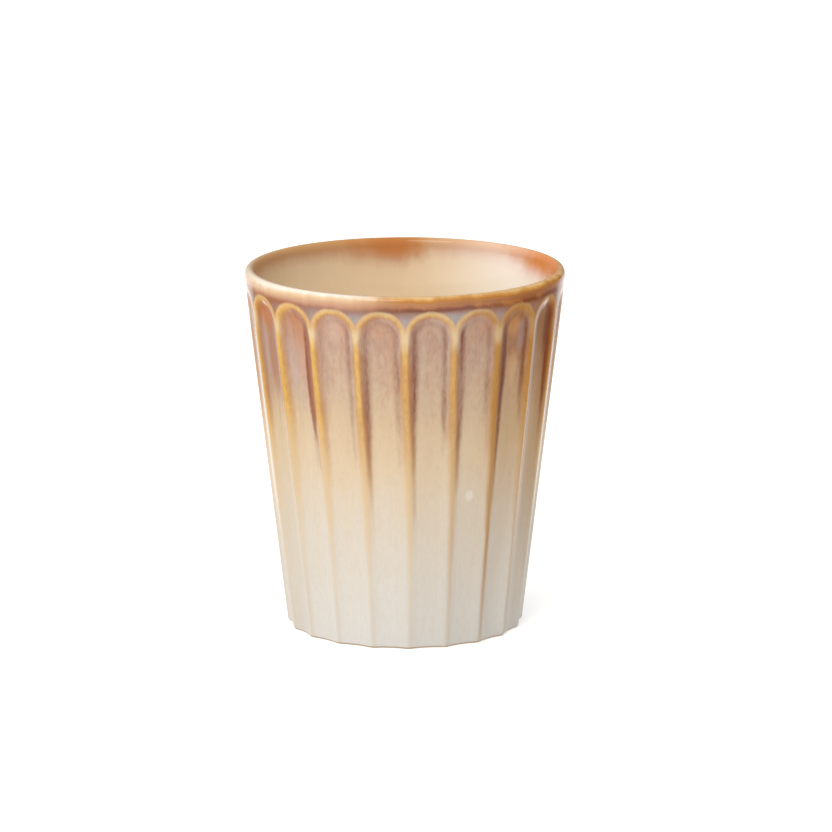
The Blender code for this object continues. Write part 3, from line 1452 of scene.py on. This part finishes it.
    def dress(self, piece: bpy.types.Object, name: str, zone: Zone) -> None:
        """Gives a coat its glaze.

        Args:
            piece: the coat.
            name: the finish's name.
            zone: which coat it is.
        """
        desk = NodeDesk(bpy.data.materials.new(name))
        at = self._spot(desk)
        height = desk.noise(desk.place(), self.wave) + at.fleck * self.fleck_relief
        desk.set(
            Base_Color=self._colour(at, zone),
            Roughness=self.roughness + at.fleck * self.roughness_spread,
            Specular_IOR_Level=self.specular,
            Coat_Weight=self._skin(at, zone),
            Coat_Roughness=self.skin_roughness,
            Normal=desk.bump(height, self.relief, self.relief_strength),
        )
        desk.clad(piece)


@dataclass(frozen=True)
class BareClay:
    """Fired stoneware with no glaze: buff, grainy and dry."""

    roughness: float = 0.82
    roughness_spread: float = 0.1
    relief: float = 0.1 * MM
    relief_strength: float = 0.6
    cloud: Grain = Grain(9, 9, 3)
    grain: Grain = Grain(0.5, 0.5, 3)

    def dress(self, piece: bpy.types.Object) -> None:
        """Gives a piece the clay.

        Args:
            piece: the piece to dress.
        """
        desk = NodeDesk(bpy.data.materials.new("bare_stoneware"))
        place = desk.place()
        grain = desk.noise(place, self.grain)
        buff = desk.noise(place, self.cloud).fade(0.3, 0.7).blend("AE9C86", "A28C70")
        desk.set(
            Base_Color=buff.washed((grain.fade(0.66, 0.74) * 0.6, "6E5240")),
            Roughness=self.roughness - grain * self.roughness_spread,
            Normal=desk.bump(grain, self.relief, self.relief_strength),
        )
        desk.clad(piece)


@dataclass(frozen=True)
class PooledGlaze:
    """The cream glaze in the recess under the foot, tan at its edge."""

    radius: float
    roughness: float = 0.2
    roughness_spread: float = 0.06
    relief: float = 0.2 * MM
    relief_strength: float = 0.4
    cloud: Grain = Grain(8, 8, 3)

    def dress(self, piece: bpy.types.Object) -> None:
        """Gives a piece the glaze.

        Args:
            piece: the piece to dress.
        """
        desk = NodeDesk(bpy.data.materials.new("foot_glaze"))
        place = desk.place()
        x, y, _ = desk.axes(place)
        cloud = desk.noise(place, self.cloud)
        reach = x.hypot(y) * (MM / self.radius) + (cloud - 0.5) * 0.1
        cream = cloud.blend("DDD1BF", "D0BE9F")
        desk.set(
            Base_Color=cream.washed((reach.fade(0.84, 0.99), "B98A50")),
            Roughness=self.roughness + cloud * self.roughness_spread,
            Normal=desk.bump(cloud, self.relief, self.relief_strength),
        )
        desk.clad(piece)


@dataclass(frozen=True)
class Studio:
    """A plain pale table, lit a little from below, in a soft room with a broad key light."""

    room: float = 0.70
    room_tilt: float = 0.70
    bright_side: tuple[float, float, float] = (-0.60, -0.64, 0.48)
    key_azimuth: float = math.radians(-25)
    key_elevation: float = math.radians(50)
    key_spread: float = math.radians(30)
    key_strength: float = 0.9
    table_glow: float = 0.38
    table_roughness: float = 0.9
    table_specular: float = 0.1
    table_grain: Grain = Grain(90, 90, 2)
    floor_side: float = 8.0
    floor_drop: float = 0.05 * MM

    def _floor(self) -> None:
        """Adds the floor."""
        Bench.clear()
        bpy.ops.mesh.primitive_plane_add(size=self.floor_side, location=(0, 0, -self.floor_drop))
        floor = bpy.context.object
        floor.name = "floor"
        desk = NodeDesk(bpy.data.materials.new("pale_floor"))
        desk.set(
            Base_Color=desk.noise(desk.place(), self.table_grain).blend("F7F7F6", "F5F5F5"),
            Roughness=self.table_roughness,
            Specular_IOR_Level=self.table_specular,
            Emission_Color=(1, 1, 1, 1),
            Emission_Strength=self.table_glow,
        )
        desk.clad(floor)
        floor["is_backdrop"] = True

    def _room(self) -> None:
        """Adds the light that comes from all round."""
        world = bpy.data.worlds.new("room")
        desk = NodeDesk(world, "Background")
        sockets = {0: desk.node("TexCoord", {}, {}, "Generated"), 1: self.bright_side}
        toward = desk.node("VectorMath", {"operation": "DOT_PRODUCT"}, sockets, "Value")
        desk.set(Color=(1, 1, 1, 1), Strength=self.room + toward * self.room_tilt)
        bpy.context.scene.world = world

    def _key(self) -> None:
        """Adds the key light."""
        data = bpy.data.lights.new("key", "SUN")
        data.energy = self.key_strength
        data.angle = self.key_spread
        light = bpy.data.objects.new("key", data)
        light.rotation_euler = (math.pi / 2 - self.key_elevation, 0, self.key_azimuth)
        bpy.context.scene.collection.objects.link(light)

    def build(self) -> None:
        """Adds the floor and the light."""
        self._floor()
        self._room()
        self._key()
        bpy.context.scene.view_settings.view_transform = "Standard"


@dataclass(frozen=True)
class Shot:
    """The camera that took the view, aimed at a point on the cup's axis."""

    aim_height: float = 48 * MM
    distance: float = 1.360
    elevation: float = math.radians(13.15)
    azimuth: float = math.radians(-0.15)
    lens_px: float = 5094.9
    aim_px: Point = (404.93, 444.48)
    sensor: float = 36.0
    clip_end: float = 100.0

    def place(self) -> None:
        """Adds the camera and makes it the scene's."""
        aim = Vector((0, 0, self.aim_height))
        side = Vector((math.cos(self.azimuth), math.sin(self.azimuth), 0))
        level = Vector((math.sin(self.azimuth), -math.cos(self.azimuth), 0))
        back = level * math.cos(self.elevation) + Vector((0, 0, math.sin(self.elevation)))
        up = back.cross(side)
        eye = aim + back * self.distance
        per_px = self.distance / self.lens_px
        right_px = PHOTO_SIDE_PX / 2 - self.aim_px[0]
        up_px = self.aim_px[1] - PHOTO_SIDE_PX / 2
        target = aim + side * right_px * per_px + up * up_px * per_px
        data = bpy.data.cameras.new("camera")
        data.sensor_width = self.sensor
        data.lens = self.sensor * self.lens_px / PHOTO_SIDE_PX
        data.clip_end = self.clip_end
        camera = bpy.data.objects.new("camera", data)
        camera.location = eye
        camera.rotation_euler = (target - eye).to_track_quat("-Z", "Y").to_euler()
        bpy.context.scene.collection.objects.link(camera)
        bpy.context.scene.camera = camera


def main() -> None:
    """Builds the cup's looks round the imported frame, with its floor, lights and camera."""
    logging.basicConfig(level=logging.INFO, format="%(message)s")
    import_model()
    cad_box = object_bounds()
    form = CupForm(
        height=cad_box[1].z,
        rim_radius=cad_box[1].x,
        glaze_low=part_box("outer_glaze")[0].z,
        lip_seam=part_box("rim_glaze")[0].z,
    )
    glaze = GlazeCoat(form)
    coats = glaze.build()
    outline = glaze.foot_outline(coats[Zone.OUTSIDE])
    pool_low, pool_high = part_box("base_glaze")
    clay = ClayBody(glaze, pool_high.x, pool_high.z).build(outline)
    pool = RecessGlaze(pool_high.x, pool_low.z, pool_high.z).build()
    pieces = {
        coats[Zone.OUTSIDE]: ("outer_glaze", "reactive_glaze"),
        coats[Zone.LIP]: ("rim_glaze", "amber_glaze"),
        coats[Zone.BOWL]: ("liner_glaze", "cream_glaze"),
        clay: ("stoneware_body", "bare_stoneware"),
        pool: ("base_glaze", "foot_glaze"),
    }
    for piece, (node, slot) in pieces.items():
        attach(piece, "root")
        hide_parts(node)
        LOG.info("%s: %d faces", piece.name, len(piece.data.polygons))

    finish = ReactiveGlaze(form, glaze.lean)
    for zone, coat in coats.items():
        finish.dress(coat, pieces[coat][1], zone)
    BareClay().dress(clay)
    PooledGlaze(pool_high.x).dress(pool)
    Studio().build()
    Shot().place()


if __name__ == "__main__":
    main()
